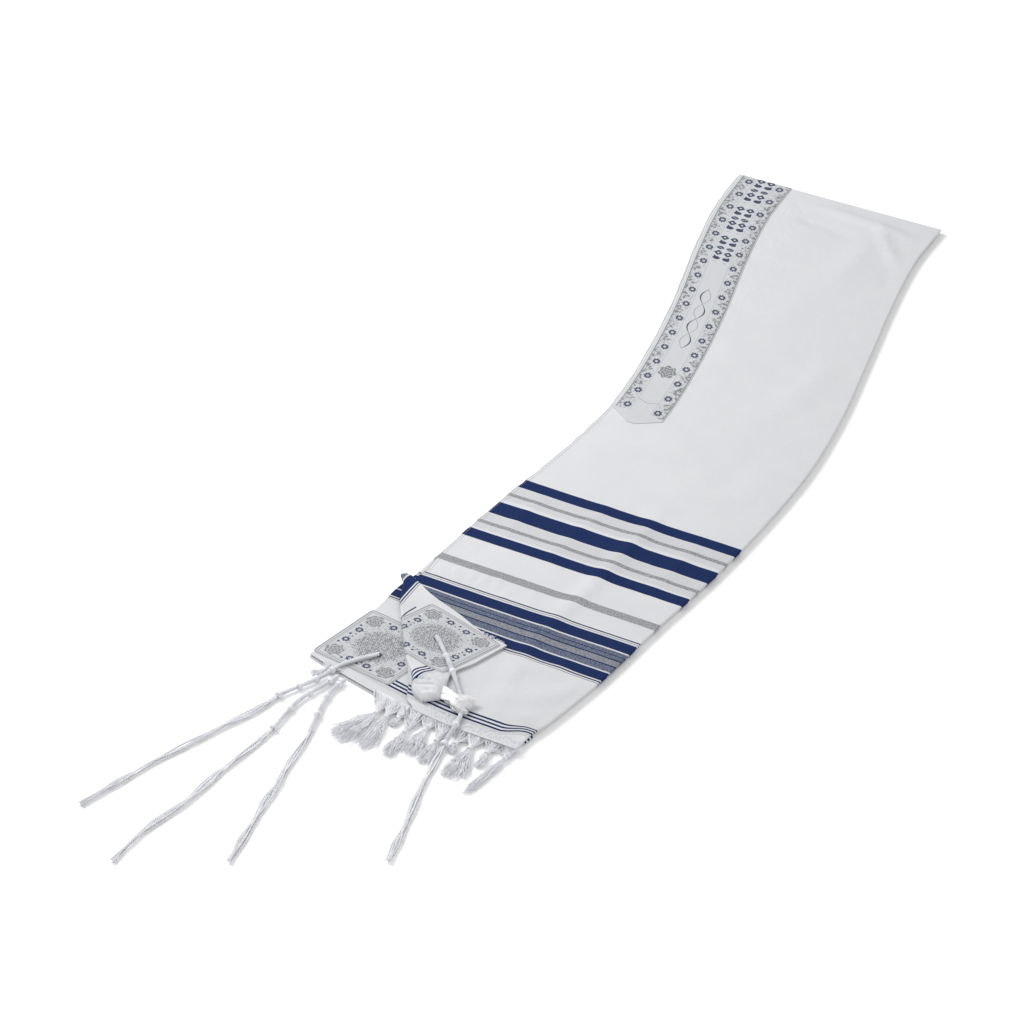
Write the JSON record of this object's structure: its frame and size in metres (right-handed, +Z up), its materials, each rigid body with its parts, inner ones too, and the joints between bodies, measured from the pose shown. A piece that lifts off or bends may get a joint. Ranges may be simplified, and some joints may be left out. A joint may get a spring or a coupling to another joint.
{
  "type": "tallit prayer shawl, folded in four and laid flat",
  "caption": "White woven prayer shawl with navy, grey and silver cross stripes, folded flat with one corner turned back; printed neckband, corner squares, corner tassels and knotted fringe.",
  "frame": {"origin": "on the surface that the shawl lies on, under the middle of the box round the folded cloth and its fringe, leaving out the free corner tassels", "axes": "+Y along the folded strip from the fringed end to the cross fold, +X across it to the lengthwise fold, +Z up"},
  "size_m": [0.371, 1.2319, 0.0166],
  "materials": {
    "striped_cloth": "white woven cloth with a soft nap, with navy, grey and silver cross stripes, roughness 0.85",
    "printed_band": "smooth off-white woven ribbon with a grey and navy figured border, roughness 0.65",
    "printed_square": "smooth off-white woven square with a grey and navy figured print, roughness 0.65",
    "corner_tassel_yarn": "twisted white yarn, roughness 0.8",
    "fringe_yarn": "soft white warp yarn, knotted and brushed out, roughness 0.85"
  },
  "bodies": {
    "root": {"cloth_folded_layers": "striped_cloth", "cloth_top_layer": "striped_cloth", "cloth_turned_corner": "striped_cloth", "corner_square_left": "printed_square", "corner_square_turned": "printed_square", "neckband": "printed_band", "fringe_01": "fringe_yarn", "fringe_02": "fringe_yarn", "fringe_03": "fringe_yarn", "fringe_04": "fringe_yarn", "fringe_05": "fringe_yarn", "fringe_06": "fringe_yarn", "fringe_07": "fringe_yarn", "fringe_08": "fringe_yarn", "fringe_09": "fringe_yarn", "fringe_10": "fringe_yarn", "fringe_11": "fringe_yarn", "fringe_on_top": "fringe_yarn", "corner_tassel_1": "corner_tassel_yarn", "corner_tassel_2": "corner_tassel_yarn", "corner_tassel_3": "corner_tassel_yarn", "corner_tassel_4": "corner_tassel_yarn"}
  },
  "joints": []
}
